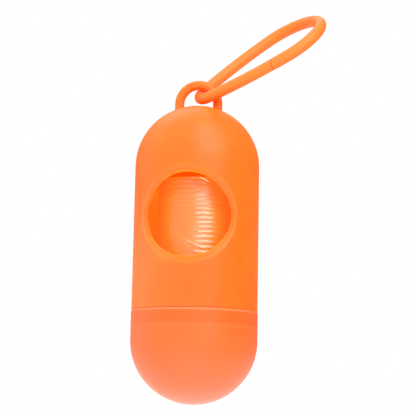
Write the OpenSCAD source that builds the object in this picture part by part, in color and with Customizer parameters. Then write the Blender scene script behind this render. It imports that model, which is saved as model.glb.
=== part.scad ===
// Capsule dispenser for a roll of dog waste bags.
// An upper shell with a round window and a moulded bail, a screw cap that carries
// the roll, and a moulded hang strap that plugs shut through the bail.
// Millimetres. +Z runs up the capsule, the window faces -Y, and the origin is
// the centre of the bail's arc, which the capsule hangs by.

/* [Shell] */
// Outer radius of the shell where it meets the cap
shell_r = 19.9; // [18.5:0.1:22]
// How much smaller the shell's radius is at the top of its straight wall
shell_draft = 0.1; // [0.02:0.02:0.3]
// Height of the straight wall, from the seam to the centre of the dome
shell_h = 46.1; // [40:0.5:60]
// Thickness of the shell's wall
shell_wall = 2.0; // [1.6:0.1:2.4]

/* [Window] */
// Radius of the round window
window_r = 13.1; // [8:0.1:14]
// Height of the window's centre above the seam
window_h = 28.6; // [24:0.1:31]
// Width of the bevel around the window
bevel_w = 2.0; // [1:0.1:2.4]
// Thickness of the sharp lip that the bevel leaves
window_lip = 0.4; // [0.2:0.1:0.8]

/* [Neck and thread] */
// Height of the land that fills the cap's mouth
land_h = 4.5; // [3:0.1:5]
// Height of the threaded spigot below the land
spigot_h = 4.3; // [4:0.1:5]
// How far the spigot is set in behind the land
spigot_relief = 0.9; // [0.6:0.1:1.2]
// Thickness of the neck's wall behind the spigot
neck_wall = 1.3; // [1:0.1:1.8]
// Height of the slope that joins the neck's bore to the shell's inside
throat_h = 3.0; // [2:0.5:6]
// Gap between the neck and the cap's bore, on the radius
cap_clear = 0.25; // [0.15:0.05:0.4]
// Width of the thread ridge at its root
ridge_w = 1.4; // [1:0.1:1.8]
// Width of the thread ridge at its crest
crest_w = 0.6; // [0.3:0.1:0.9]
// Rise of the thread ridge over one turn
ridge_pitch = 2.8; // [2:0.1:3]
// Turns of the thread ridge
ridge_turns = 0.9; // [0.5:0.05:0.95]
// Gap between the crest of the ridge and the line of the land
ridge_clear = 0.1; // [0.05:0.05:0.3]

/* [Cap] */
// How much larger the cap's outer radius is than the shell's
cap_step = 0.1; // [0:0.05:0.4]
// Height of the cap's straight wall
cap_h = 9.0; // [9:0.1:14]
// Thickness of the cap's wall
cap_wall = 1.6; // [1.2:0.1:2]
// Gap left at the seam when the cap is home
seam_gap = 0.15; // [0.05:0.05:0.3]

/* [Bail] */
// Radius of the bail's arc, to the middle of its wire
bail_r = 6.2; // [5.8:0.1:7.5]
// Thickness of the bail's wire
bail_wire = 3.0; // [2.4:0.1:3.2]
// Height of the arc's centre above the top of the dome
bail_rise = 1.0; // [0.6:0.1:2.5]

/* [Strap] */
// Thickness of the strap's cord
cord_d = 3.6; // [3:0.1:3.8]
// Length of the loop, along the middle of its cord
loop_len = 45.5; // [42:0.5:60]
// Room inside the loop's tight end, beyond the bail's wire
near_slack = 1.7; // [1.5:0.1:2.5]
// Radius of the loop's wide end
far_r = 13.8; // [12:0.2:15]
// Radius of the loop's long sides
side_r = 87; // [80:1:120]
// Gap between the cord and the bail's arc above it
seat_drop = 0.95; // [0.6:0.05:1]
// How far the cord sits to the right of the eye's middle
seat_shift = 0.5; // [0:0.1:0.8]
// Angle of the loop above the horizontal
loop_pitch = 33.5; // [20:0.5:60]
// Angle that the loop's far end is turned backwards
loop_yaw = 3; // [0:0.5:5]
// Angle that the loop's front side is turned downwards
loop_roll = 31; // [20:1:35]

/* [Strap closure] */
// Turn of the wide end before its flex point, which also places the closure across from it
flex_past = 3.3; // [2:0.1:8]
// Radius of the socket's rounded end
nose_r = 2.0; // [1.95:0.05:3]
// Gap between the two halves of the strap
closure_gap = 0.12; // [0.08:0.02:0.3]
// Length of the plug
plug_len = 5.0; // [3:0.5:6]
// Thickness of the plug
plug_d = 1.7; // [1.2:0.1:1.8]
// How much the bead on the plug's tip stands out, on the radius
plug_bead = 0.05; // [0.02:0.01:0.1]
// Gap around the plug's bead in its socket
plug_clear = 0.08; // [0.05:0.01:0.15]
// Depth of the socket past the middle of the plug's bead
socket_spare = 1.2; // [1.1:0.1:2]
// How much smaller the ball at the flex point is than the cord, on the radius
flex_inset = 0.05; // [0.02:0.01:0.15]
// Gap between that ball and its cup
flex_gap = 0.2; // [0.2:0.02:0.3]

/* [Bag roll] */
// Diameter of the full roll
roll_d = 25.6; // [20:0.2:28]
// Length of the roll, which is a bag folded to this width
roll_len = 63.0; // [55:0.5:66]
// Inner diameter of the tube that the bags are wound on
core_d = 12.0; // [9:0.5:14]
// Thickness of the tube's wall
core_wall = 0.9; // [0.6:0.1:1.5]
// Thickness of the first bag's turn around the roll
lead_t = 0.2; // [0.1:0.05:0.4]
// Air between that turn and the bags under it
film_gap = 0.03; // [0.02:0.01:0.05]
// Angle that the first bag's last turn covers
lead_angle = 318; // [200:2:340]
// Angle of the first bag's torn edge, from the +X axis
lead_edge = 18; // [0:1:30]
// Gap under the roll's rim in the cap's dome
roll_seat_gap = 0.3; // [0.1:0.1:0.4]

/* [Hidden] */

eps = 0.01;
over = 1;
round_fn = 96;

shell_colour = [1.0, 0.47, 0.12];
cap_colour = [1.0, 0.50, 0.28];
strap_colour = [1.0, 0.53, 0.24];
film_colour = [1.0, 0.62, 0.36];
lead_colour = [1.0, 0.70, 0.46];
core_colour = [0.76, 0.60, 0.42];

// Levels down the capsule's axis
shell_top_r = shell_r - shell_draft;
dome_top_z = -bail_rise;
dome_z = dome_top_z - shell_top_r;
seam_z = dome_z - shell_h;
cap_top_z = seam_z - seam_gap;
cap_dome_z = cap_top_z - cap_h;
window_z = seam_z + window_h;

// Radii from the seam inwards
cap_r = shell_r + cap_step;
cap_bore_r = cap_r - cap_wall;
land_r = cap_bore_r - cap_clear;
spigot_r = land_r - spigot_relief;
neck_bore_r = spigot_r - neck_wall;
window_shell_r = shell_r - shell_draft * window_h / shell_h;

// The two ends of the straight wall's inside
inner_low_r = shell_r - shell_wall;
inner_top_r = shell_top_r - shell_wall;
land_z = seam_z - land_h;
spigot_z = land_z - spigot_h;

// Roll
roll_r = roll_d / 2;
core_outer_r = core_d / 2 + core_wall;
roll_z = cap_dome_z - sqrt(pow(cap_bore_r, 2) - pow(roll_r, 2)) + roll_seat_gap;

// Loop of the strap, in its own plane: x along it, y across it, 0 at its tight end
cord_r = cord_d / 2;
ball_r = cord_r - flex_inset;
bead_r = plug_d / 2 + plug_bead;
wire_r = bail_wire / 2;
near_r = cord_r + wire_r + near_slack;
seat_z = bail_r - wire_r - cord_r - seat_drop;
far_x = loop_len - far_r;
centres_x = far_x - near_r;
near_reach = side_r - near_r;
far_reach = side_r - far_r;
side_dx = (pow(near_reach, 2) - pow(far_reach, 2) + pow(centres_x, 2)) / (2 * centres_x);
side_x = near_r + side_dx;
side_y = -sqrt(pow(near_reach, 2) - pow(side_dx, 2));
near_a = atan2(-side_y, near_r - side_x);
far_a = atan2(-side_y, far_x - side_x);

// Flex point just past the start of the wide end, and the closure square across the loop from it
flex_a = flex_past - far_a;
flex_x = far_x + far_r * cos(flex_a);
flex_y = far_r * sin(flex_a);
closure_a = atan2(flex_y - side_y, flex_x - side_x);
closure_x = side_x + side_r * cos(closure_a);
closure_y = side_y + side_r * sin(closure_a);
flex_reach = side_r - norm([flex_x - side_x, flex_y - side_y]);
plug_angle = plug_len / flex_reach * 180 / PI;
spare_angle = socket_spare / flex_reach * 180 / PI;
trim_angle = nose_r / side_r * 180 / PI;

// Stations along an arc of the loop, each the middle of a ring, its facing and its radius
function arc_stations(centre, bend_r, from_a, to_a, steps, first = 1) = [
    for (i = [first:steps]) let(a = from_a + (to_a - from_a) * i / steps)
        [centre[0] + bend_r * cos(a), centre[1] + bend_r * sin(a), a, cord_r]
];

// Stations of the ball on the cord's end at the flex point, from its tip to its middle
function ball_stations(steps) = [
    for (i = [1:steps]) let(
        a = 90 * i / steps,
        ahead = -ball_r * cos(a)
    ) [flex_x - ahead * sin(flex_a), flex_y + ahead * cos(flex_a), flex_a, ball_r * sin(a)]
];

// The cord, swept through its stations as a ring of flats
module swept_cord(stations) {
    sides = 24;
    rings = len(stations);
    points = [for (s = stations) for (j = [0:sides - 1]) let(
        turn = 360 * j / sides,
        out = s[3] * cos(turn)
    ) [s[0] + out * cos(s[2]), s[1] + out * sin(s[2]), s[3] * sin(turn)]];
    skin = [for (i = [0:rings - 2]) for (j = [0:sides - 1]) let(k = (j + 1) % sides)
        [i * sides + j, i * sides + k, (i + 1) * sides + k, (i + 1) * sides + j]];
    ends = [[for (j = [sides - 1:-1:0]) j], [for (j = [0:sides - 1]) (rings - 1) * sides + j]];
    polyhedron(points = points, faces = concat(skin, ends), convexity = 6);
}

// A round rod bent to an arc in the x-y plane
module arc_rod(centre, bend_r, from_a, to_a, r) {
    translate([centre[0], centre[1], 0])
        rotate([0, 0, from_a])
            rotate_extrude(angle = to_a - from_a, $fn = round_fn)
                translate([bend_r, 0])
                    circle(r, $fn = 48);
}

// Moves a shape from the loop's own plane to its place in the bail's eye
module in_the_eye() {
    translate([seat_shift, 0, seat_z])
        rotate([0, -loop_pitch, 0])
            rotate([0, 0, loop_yaw])
                rotate([180 + loop_roll, 0, 0])
                    children();
}

// Moves a shape to the closure: x along the cord, y across the loop
module at_closure() {
    translate([closure_x, closure_y, 0])
        rotate([0, 0, closure_a - 90])
            children();
}

// Outline of the socket half's rounded end, seen across the cord
module nose(r) {
    translate([nose_r, 0])
        circle(r, $fn = round_fn);
}

// Carries an outline right across the cord
module across_cord() {
    rotate([90, 0, 0])
        linear_extrude(2 * cord_d, center = true)
            children();
}

// Points of one edge of the window's bevel: k is 0 on the bore and 1 on the outside
function bevel_point(a, k) = let(
    bore_x = window_r * cos(a),
    bore_y = sqrt(pow(window_shell_r, 2) - pow(bore_x, 2)) - (shell_wall - window_lip),
    turn = (asin(window_r / window_shell_r) + bevel_w / window_shell_r * 180 / PI) * cos(a),
    rim_x = window_shell_r * sin(turn),
    rim_y = window_shell_r * cos(turn),
    x = bore_x + k * (rim_x - bore_x),
    y = bore_y + k * (rim_y - bore_y),
    z = (window_r + k * bevel_w) * sin(a)
) [x, -y, window_z + z];

// Cutter for the bevel: a ring of slopes that runs past both of its edges
module bevel_cutter() {
    steps = 72;
    inside = -0.2;
    outside = 1.5;
    ring_in = [for (i = [0:steps - 1]) bevel_point(i * 360 / steps, inside)];
    ring_out = [for (i = [0:steps - 1]) bevel_point(i * 360 / steps, outside)];
    middle_in = [0, -cos(45) * window_shell_r, window_z];
    middle_out = [0, -2 * window_shell_r, window_z];
    polyhedron(
        points = concat(ring_in, ring_out, [middle_in, middle_out]),
        faces = concat(
            [for (i = [0:steps - 1]) [i, steps + i, (i + 1) % steps]],
            [for (i = [0:steps - 1]) [(i + 1) % steps, steps + i, steps + (i + 1) % steps]],
            [for (i = [0:steps - 1]) [(i + 1) % steps, 2 * steps, i]],
            [for (i = [0:steps - 1]) [steps + i, 2 * steps + 1, steps + (i + 1) % steps]]
        ),
        convexity = 4
    );
}

// Ridge of the screw thread, swept around the spigot and run out at both ends
module thread_ridge() {
    steps = 72;
    run_out = 8;
    root_sink = 0.4;
    start_a = 306;
    start_z = spigot_z + ridge_w / 2 + 0.2;
    function height(i) = (ridge_clear + ridge_w / 8)
        + (spigot_relief - 2 * ridge_clear - ridge_w / 8) * min(1, i / run_out, (steps - i) / run_out);
    function turned(i, r, dz) = let(a = start_a + 360 * ridge_turns * i / steps)
        [r * cos(a), r * sin(a), start_z + ridge_pitch * ridge_turns * i / steps + dz];
    rings = [for (i = [0:steps]) each [
        turned(i, spigot_r - root_sink, -ridge_w / 2),
        turned(i, spigot_r + height(i), -crest_w / 2),
        turned(i, spigot_r + height(i), crest_w / 2),
        turned(i, spigot_r - root_sink, ridge_w / 2)
    ]];
    sides = [for (i = [0:steps - 1]) for (j = [0:3]) let(k = (j + 1) % 4)
        each [[4 * i + j, 4 * i + k, 4 * i + 4 + j], [4 * i + k, 4 * i + 4 + k, 4 * i + 4 + j]]];
    ends = [[0, 2, 1], [0, 3, 2],
        [4 * steps, 4 * steps + 1, 4 * steps + 2], [4 * steps, 4 * steps + 2, 4 * steps + 3]];
    polyhedron(points = rings, faces = concat(sides, ends), convexity = 4);
}

// Moulded eye on top of the dome: half a ring on two short legs
module bail() {
    leg_h = bail_rise + shell_top_r - sqrt(pow(shell_top_r, 2) - pow(bail_r + wire_r, 2)) + wire_r / 2;
    rotate([90, 0, 0])
        rotate_extrude(angle = 180, $fn = round_fn)
            translate([bail_r, 0])
                circle(wire_r, $fn = 48);
    for (side = [-1, 1])
        translate([side * bail_r, 0, -leg_h])
            cylinder(r = wire_r, h = leg_h, $fn = 48);
}

// Upper half of a ball, for the inside and the outside of the dome
module dome(r, z) {
    translate([0, 0, z])
        intersection() {
            sphere(r, $fn = round_fn);
            translate([0, 0, r])
                cube(2 * r + over, center = true);
        }
}

module shell_outside() {
    dome(shell_top_r, dome_z);
    translate([0, 0, seam_z])
        cylinder(r1 = shell_r, r2 = shell_top_r, h = shell_h, $fn = round_fn);
    translate([0, 0, land_z])
        cylinder(r = land_r, h = land_h + eps, $fn = round_fn);
    translate([0, 0, spigot_z])
        cylinder(r = spigot_r, h = spigot_h + eps, $fn = round_fn);
    thread_ridge();
    bail();
}

module shell_inside() {
    throat_z = seam_z + throat_h;
    throat_r = inner_low_r - shell_draft * throat_h / shell_h;
    dome(inner_top_r, dome_z);
    translate([0, 0, throat_z])
        cylinder(r1 = throat_r, r2 = inner_top_r, h = dome_z - throat_z, $fn = round_fn);
    translate([0, 0, seam_z])
        cylinder(r1 = neck_bore_r, r2 = throat_r, h = throat_h, $fn = round_fn);
    translate([0, 0, spigot_z - over])
        cylinder(r = neck_bore_r, h = land_h + spigot_h + over, $fn = round_fn);
}

module upper_shell() {
    color(shell_colour)
        difference() {
            shell_outside();
            shell_inside();
            translate([0, 0, window_z])
                rotate([90, 0, 0])
                    cylinder(r = window_r, h = shell_r + over, $fn = round_fn);
            bevel_cutter();
        }
}

module cap_body(r, extra) {
    translate([0, 0, cap_dome_z])
        cylinder(r = r, h = cap_h + extra, $fn = round_fn);
    translate([0, 0, cap_dome_z])
        mirror([0, 0, 1])
            dome(r, 0);
}

module screw_cap() {
    color(cap_colour)
        difference() {
            cap_body(cap_r, 0);
            cap_body(cap_bore_r, over);
        }
}

// Tight end of the strap, which runs through the bail and ends in the plug
module strap_plug_half() {
    color(strap_colour)
        in_the_eye() {
            difference() {
                swept_cord(concat(
                    arc_stations([side_x, side_y], side_r, closure_a - trim_angle, near_a, 10, 0),
                    arc_stations([near_r, 0], near_r, near_a, 360 - near_a, 20),
                    arc_stations([side_x, -side_y], side_r, 360 - near_a, 360 - far_a, 10),
                    arc_stations([far_x, 0], far_r, 360 - far_a, 360 + flex_a, 1)
                ));
                at_closure()
                    across_cord()
                        nose(nose_r + closure_gap);
                translate([flex_x, flex_y, 0])
                    sphere(ball_r + flex_gap, $fn = round_fn);
            }
            arc_rod([flex_x, flex_y], flex_reach, closure_a - plug_angle, closure_a + plug_angle / 4,
                plug_d / 2);
            translate([flex_x, flex_y, 0])
                rotate([0, 0, closure_a - plug_angle])
                    translate([flex_reach, 0, 0])
                        sphere(bead_r, $fn = 48);
        }
}

// Wide end of the strap, with the socket at one end and the flex point at the other
module strap_socket_half() {
    bore_r = bead_r + plug_clear;
    color(strap_colour)
        in_the_eye()
            difference() {
                swept_cord(concat(
                    ball_stations(8),
                    arc_stations([far_x, 0], far_r, flex_a, far_a, 28),
                    arc_stations([side_x, side_y], side_r, far_a, closure_a + trim_angle, 10)
                ));
                at_closure()
                    across_cord()
                        difference() {
                            translate([nose_r - 2 * cord_d, -cord_d])
                                square(2 * cord_d);
                            nose(nose_r);
                        }
                arc_rod([flex_x, flex_y], flex_reach, closure_a - plug_angle - spare_angle,
                    closure_a + plug_angle / 2, bore_r);
            }
}

module sleeve(inner_r, outer_r, h) {
    difference() {
        cylinder(r = outer_r, h = h, $fn = round_fn);
        translate([0, 0, -over])
            cylinder(r = inner_r, h = h + 2 * over, $fn = round_fn);
    }
}

module roll_core() {
    color(core_colour)
        translate([0, 0, roll_z])
            sleeve(core_d / 2, core_outer_r, roll_len);
}

module wound_bags() {
    color(film_colour)
        translate([0, 0, roll_z])
            sleeve(core_outer_r, roll_r - lead_t - film_gap, roll_len);
}

module leading_bag() {
    color(lead_colour)
        translate([0, 0, roll_z])
            rotate([0, 0, lead_edge])
                rotate_extrude(angle = lead_angle, $fn = round_fn)
                    translate([roll_r - lead_t, 0])
                        square([lead_t, roll_len]);
}

upper_shell();
screw_cap();
strap_plug_half();
strap_socket_half();
roll_core();
wound_bags();
leading_bag();
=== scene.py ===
# %% [markdown]
# # A capsule dispenser for dog waste bags
#
# The dispenser is two mouldings, a shell and a cap, around one roll of bags, with a rubber strap
# through the eye on top. The solids that the machines measure come first, as a frame. Each piece
# that is seen is then worked out as a surface and given a finish, and all but one are hung on the
# body they move with.

import math

import bmesh
import bpy
import numpy as np
from mathutils import Matrix


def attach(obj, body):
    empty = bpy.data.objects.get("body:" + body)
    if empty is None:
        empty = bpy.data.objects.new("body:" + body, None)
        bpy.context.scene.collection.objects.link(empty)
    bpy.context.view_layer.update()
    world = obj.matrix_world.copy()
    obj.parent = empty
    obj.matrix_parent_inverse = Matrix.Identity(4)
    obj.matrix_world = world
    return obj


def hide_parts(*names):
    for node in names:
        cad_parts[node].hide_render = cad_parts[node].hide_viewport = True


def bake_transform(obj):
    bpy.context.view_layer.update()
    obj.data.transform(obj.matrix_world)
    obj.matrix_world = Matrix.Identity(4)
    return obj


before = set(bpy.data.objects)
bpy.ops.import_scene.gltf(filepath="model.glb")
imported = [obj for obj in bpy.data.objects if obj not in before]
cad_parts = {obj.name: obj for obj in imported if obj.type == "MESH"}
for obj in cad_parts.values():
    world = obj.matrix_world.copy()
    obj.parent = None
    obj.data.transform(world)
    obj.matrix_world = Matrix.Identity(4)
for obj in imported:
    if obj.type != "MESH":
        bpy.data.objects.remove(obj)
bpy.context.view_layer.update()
MM = 0.001

# %% [markdown]
# ## The camera
#
# The view is taken with a long lens from slightly below and from a little to the right, and
# the camera is tipped by one degree. A camera's place could be typed in as a matrix, but angles
# round the object say more: an azimuth, an elevation, a distance and a roll. The frame of the
# camera is then three arrows: one to the right, one up and one towards the viewer. A lamp is
# aimed by the same three.


# %% Place and aim
def put(name, data, place=(0, 0, 0), axes=None):
    """A new object of the scene, at a place in metres and turned by the columns of axes."""
    thing = bpy.data.objects.new(name, data)
    bpy.context.scene.collection.objects.link(thing)
    if axes is not None:
        thing.matrix_world = Matrix.Translation(place) @ Matrix(axes.tolist()).to_4x4()
    return thing


def facing(back):
    """Rotation whose columns are right, up and backwards: right is level and square to back."""
    back = back / np.linalg.norm(back)
    right = np.cross([0, 0, 1], back)
    right /= np.linalg.norm(right)
    return np.column_stack([right, np.cross(back, right), back])


def turn_about(axis, degrees):
    """Rotation matrix about an axis: 0 is x, 1 is y and 2 is z."""
    c, s = math.cos(math.radians(degrees)), math.sin(math.radians(degrees))
    i, j = (axis + 1) % 3, (axis + 2) % 3
    matrix = np.eye(3)
    matrix[[i, i, j, j], [i, j, i, j]] = c, -s, s, c
    return matrix


def look_from(azimuth, elevation, roll):
    """Axes of a camera that looks from the direction (sin az cos el, -cos az cos el, sin el)
    and is then turned by the roll."""
    az, el = np.radians([azimuth, elevation])
    back = np.array([np.sin(az) * np.cos(el), -np.cos(az) * np.cos(el), np.sin(el)])
    return facing(back) @ turn_about(2, roll)


# %% Camera
camera_target = np.array([3.696, 0.0, -33.872])
camera_distance = 450.0
camera_axes = look_from(8.96, -8.50, 1.116)
camera_data = bpy.data.cameras.new("studio_camera")
camera_data.sensor_width = 36.0
camera_data.lens = 122.2
camera_data.clip_start = 0.01
camera_place = (camera_target + camera_distance * camera_axes[:, 2]) * MM
camera = put("studio_camera", camera_data, camera_place, camera_axes)
bpy.context.scene.camera = camera
print("camera stands at, mm:", [round(v / MM, 1) for v in camera.location])

# %% [markdown]
# ## Surfaces from grids
#
# Every piece here is a grid: rows of points, each row with the same number of points. Blender's
# own primitives could be cut and joined instead, but a grid keeps its rows where a highlight
# needs them, next to each rounded edge. One helper turns grids into one mesh: it adds the
# faces, merges the points that meet, and turns the faces outwards.


# %% Faces of a grid
def grid_faces(rows, columns, closed):
    """Four corners of each cell: a point, its neighbour in the row, and the same two one row
    on. When closed, the last point of a row is next to its first."""
    row, column = np.meshgrid(
        np.arange(rows - 1), np.arange(columns if closed else columns - 1), indexing="ij"
    )
    beside = (column + 1) % columns
    start, after = row * columns, (row + 1) * columns
    corners = [start + column, start + beside, after + beside, after + column]
    return np.stack(corners, axis=-1).reshape(-1, 4)


# %% Piece from grids
def make_piece(name, grids, material, body, closed=True, sharp=60, flat_uv=None):
    """A piece from grids of points in millimetres. Points that meet are merged, faces are
    turned outwards, and edges sharper than the angle stay sharp. flat_uv gives each point's
    place on the unrolled surface."""
    points, faces = [], []
    for grid in grids:
        rows, columns = grid.shape[:2]
        faces.append(grid_faces(rows, columns, closed) + sum(len(p) for p in points))
        points.append(grid.reshape(-1, 3))
    mesh = bpy.data.meshes.new(name)
    mesh.from_pydata((np.concatenate(points) * MM).tolist(), [], np.concatenate(faces).tolist())
    if flat_uv is not None:
        corner_points = np.empty(len(mesh.loops), dtype=np.int32)
        mesh.loops.foreach_get("vertex_index", corner_points)
        corner_uv = flat_uv.reshape(-1, 2)[corner_points].astype(np.float32)
        mesh.uv_layers.new(name="unrolled").data.foreach_set("uv", corner_uv.ravel())
    work = bmesh.new()
    work.from_mesh(mesh)
    bmesh.ops.remove_doubles(work, verts=work.verts, dist=0.002 * MM)
    bmesh.ops.recalc_face_normals(work, faces=work.faces)
    work.to_mesh(mesh)
    work.free()
    mesh.shade_smooth()
    mesh.set_sharp_from_angle(angle=math.radians(sharp))
    mesh.materials.append(material)
    piece = put(name, mesh)
    if body:
        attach(piece, body)
    print(f"{name}: {len(mesh.vertices)} points, {len(mesh.polygons)} faces")
    return piece


# %% [markdown]
# ## Finishes
#
# All plastics here come from steel moulds that were blasted to a fine satin. Up close that is a
# very fine grain, with a slow drift in colour where the melt flowed. Both are the same on the
# shell, the cap and the strap, only stronger or weaker, so they are one node group with its own
# numbers in each material. The shader itself stays in the material.


# %% Node helpers
def new_group(name, inputs, outputs):
    """A shader node group: inputs are given as (name, type, value), outputs as (name, type)."""
    group = bpy.data.node_groups.new(name, "ShaderNodeTree")
    for label, kind, value in inputs:
        socket = group.interface.new_socket(label, in_out="INPUT", socket_type=kind)
        socket.default_value = value
    for label, kind in outputs:
        group.interface.new_socket(label, in_out="OUTPUT", socket_type=kind)
    return group, group.nodes.new("NodeGroupInput"), group.nodes.new("NodeGroupOutput")


def node(tree, kind, links=None, **settings):
    """A node with its settings, sockets by name: a value sets a socket and a socket is linked."""
    made = tree.nodes.new(kind)
    for key, value in settings.items():
        setattr(made, key, value)
    for key, value in (links or {}).items():
        if isinstance(value, bpy.types.NodeSocket):
            tree.links.new(value, made.inputs[key])
        else:
            made.inputs[key].default_value = value
    return made


def blend_colours(tree, amount, first, second):
    """The colour that lies between two others by an amount."""
    links = {0: amount, 6: first, 7: second}
    return node(tree, "ShaderNodeMix", links, data_type="RGBA").outputs[2]


# %% Masks
def graded(tree, value, start, end, first=0.0, last=1.0, shape="LINEAR"):
    """A value read on a scale: first where it is at its start, and last at its end."""
    return node(
        tree,
        "ShaderNodeMapRange",
        {"Value": value, "From Min": start, "From Max": end, "To Min": first, "To Max": last},
        interpolation_type=shape,
    ).outputs["Result"]


def fade(tree, value, start, end, most=1.0):
    """A mask that rises smoothly from 0 where a value is at its start to most at its end."""
    return graded(tree, value, start, end, 0.0, most, "SMOOTHSTEP")


def maths(tree, operation, *values):
    """What one Math node makes of its values."""
    return node(tree, "ShaderNodeMath", dict(enumerate(values)), operation=operation).outputs[0]


def both(tree, first, second):
    """The product of two masks."""
    return maths(tree, "MULTIPLY", first, second)


# %% Noise and relief
def noise(tree, place, size, detail, distortion=0.0):
    """A noise from 0 to 1, with about size lumps to a unit of place."""
    links = {"Vector": place, "Scale": size, "Detail": detail, "Distortion": distortion}
    return node(tree, "ShaderNodeTexNoise", links).outputs["Fac"]


def grained(tree, height, strength, distance):
    """A normal that leans as a fine relief would lean it."""
    links = {"Height": height, "Strength": strength, "Distance": distance}
    return node(tree, "ShaderNodeBump", links).outputs["Normal"]


# %% Group: satin moulding
moulding, ins, outs = new_group(
    "satin_moulding",
    [
        ("Colour", "NodeSocketColor", (1, 1, 1, 1)),
        ("Flow colour", "NodeSocketColor", (1, 1, 1, 1)),
        ("Flow size", "NodeSocketFloat", 60.0),
        ("Grain size", "NodeSocketFloat", 2500.0),
        ("Grain height", "NodeSocketFloat", 0.1),
        ("Smoothest", "NodeSocketFloat", 0.35),
        ("Roughest", "NodeSocketFloat", 0.45),
    ],
    [
        ("Colour", "NodeSocketColor"),
        ("Roughness", "NodeSocketFloat"),
        ("Normal", "NodeSocketVector"),
    ],
)
given = ins.outputs
place = node(moulding, "ShaderNodeTexCoord").outputs["Object"]
flow = noise(moulding, place, given["Flow size"], 2.0, 0.6)
soft_flow = fade(moulding, flow, 0.35, 0.65)
flow_colour = blend_colours(moulding, soft_flow, given["Colour"], given["Flow colour"])
satin = graded(moulding, flow, 0.3, 0.7, given["Smoothest"], given["Roughest"])
grain = noise(moulding, place, given["Grain size"], 3.0)
grain_normal = grained(moulding, grain, given["Grain height"], 0.00005)
for label, value in (("Colour", flow_colour), ("Roughness", satin), ("Normal", grain_normal)):
    moulding.links.new(value, outs.inputs[label])
print("satin_moulding takes", [s.name for s in given if s.name])

# %% [markdown]
# The shell, the bail and the cap are one plastic that light sinks into a little way before it
# comes back, so their shaded sides glow. The cap has less pigment in it: a small share of rough
# transmission lets the neck behind its rim show a little, and its shade there is painted into
# the cap's colour. The strap is a soft rubber with a blunter sheen. The curled edge of the
# leading bag is film folded on itself, which is paler, and a painted glint makes it paler still.


# %% Material helpers
def principled(name):
    """A new material, its node tree and its main shader."""
    material = bpy.data.materials.new(name)
    material.use_nodes = True
    tree = material.node_tree
    return material, tree, tree.nodes["Principled BSDF"]


def dress(tree, shader, colour, roughness, normal, **plain):
    """Links the three sockets that change over the surface, and sets the shader's plain ones,
    whose names are written with an underscore for each space."""
    for socket, value in (("Base Color", colour), ("Roughness", roughness), ("Normal", normal)):
        tree.links.new(value, shader.inputs[socket])
    for socket, value in plain.items():
        shader.inputs[socket.replace("_", " ")].default_value = value


def moulded(name, colour, flow_colour, roughness, **plain):
    """A plastic from the satin_moulding group. Colours are linear red, green and blue, and
    plain is for the shader's own sockets."""
    material, tree, shader = principled(name)
    skin = node(
        tree,
        "ShaderNodeGroup",
        {
            "Colour": (*colour, 1),
            "Flow colour": (*flow_colour, 1),
            "Smoothest": roughness - 0.03,
            "Roughest": roughness + 0.03,
        },
        node_tree=moulding,
    ).outputs
    plain = {"IOR": 1.42, "Specular_IOR_Level": 0.36, **plain}
    dress(tree, shader, skin["Colour"], skin["Roughness"], skin["Normal"], **plain)
    return material


def glow(weight, reach):
    """Light that sinks in: its share, and how far red spreads in metres. Green spreads half
    as far and blue a fifth."""
    return {
        "Subsurface_Weight": weight,
        "Subsurface_Radius": (1.0, 0.5, 0.2),
        "Subsurface_Scale": reach,
    }


# %% Moulded finishes
shell_satin = moulded(
    "shell_satin", (1.0, 0.097, 0.0004), (1.0, 0.104, 0.0015), 0.42, **glow(1.0, 0.012)
)
# The inside's pale colour is painted light that comes through the wall.
shell_inside = moulded(
    "shell_inside", (1.0, 0.27, 0.05), (1.0, 0.29, 0.055), 0.35, **glow(1.0, 0.012)
)
cap_milky = moulded(
    "cap_milky",
    (1.0, 0.110, 0.012),
    (1.0, 0.116, 0.015),
    0.40,
    Transmission_Weight=0.1,
    **glow(0.5, 0.012),
)
bail_satin = moulded(
    "bail_satin", (1.0, 0.108, 0.002), (1.0, 0.115, 0.004), 0.42, **glow(0.6, 0.003)
)
# The curled edge is paler as folded film, and paler still as a painted glint.
film_edge_and_glint = moulded("film_edge_and_glint", (1.0, 0.50, 0.28), (1.0, 0.56, 0.34), 0.25)
strap_rubber = moulded("strap_rubber", (1.0, 0.118, 0.007), (1.0, 0.127, 0.010), 0.5)
print("moulded finishes:", shell_satin.name, cap_milky.name, strap_rubber.name)

# %% [markdown]
# The shell's colour isn't the same all over, and each change is painted light or shade. It is
# painted paler low on its left, as light from the lower left. Round the window the wall thins to
# a crest and then slopes down to the bore: the crest is painted paler, most towards the top, as a
# painted highlight, and the slope is painted deeper, as painted shade. Each is one more colour and
# a mask, worked out from the place on the piece: a fade along an axis, or the distance from the
# middle of the window.


# %% Place and tint
def object_axes(tree):
    """The three object coordinates, as sockets named X, Y and Z."""
    place = node(tree, "ShaderNodeTexCoord").outputs["Object"]
    return node(tree, "ShaderNodeSeparateXYZ", {"Vector": place}).outputs


def tint(material, mask, colour):
    """Mix one more colour into a finish, as far as a mask says."""
    tree = material.node_tree
    base = tree.nodes["Principled BSDF"].inputs["Base Color"]
    mixed = blend_colours(tree, mask, base.links[0].from_socket, (*colour, 1))
    tree.links.new(mixed, base)


# %% Painted light and shade in the shell
window_z, window_r, bevel_w = -38.3, 13.1, 2.0
bevel_rim = window_r + bevel_w
lower_left_light_tone, crest_highlight_tone, slope_shade_tone = (1.0, 0.16, 0.036), (1.0, 0.124, 0.018), (1.0, 0.084, 0.0004)
tree = shell_satin.node_tree
axes = object_axes(tree)
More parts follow.
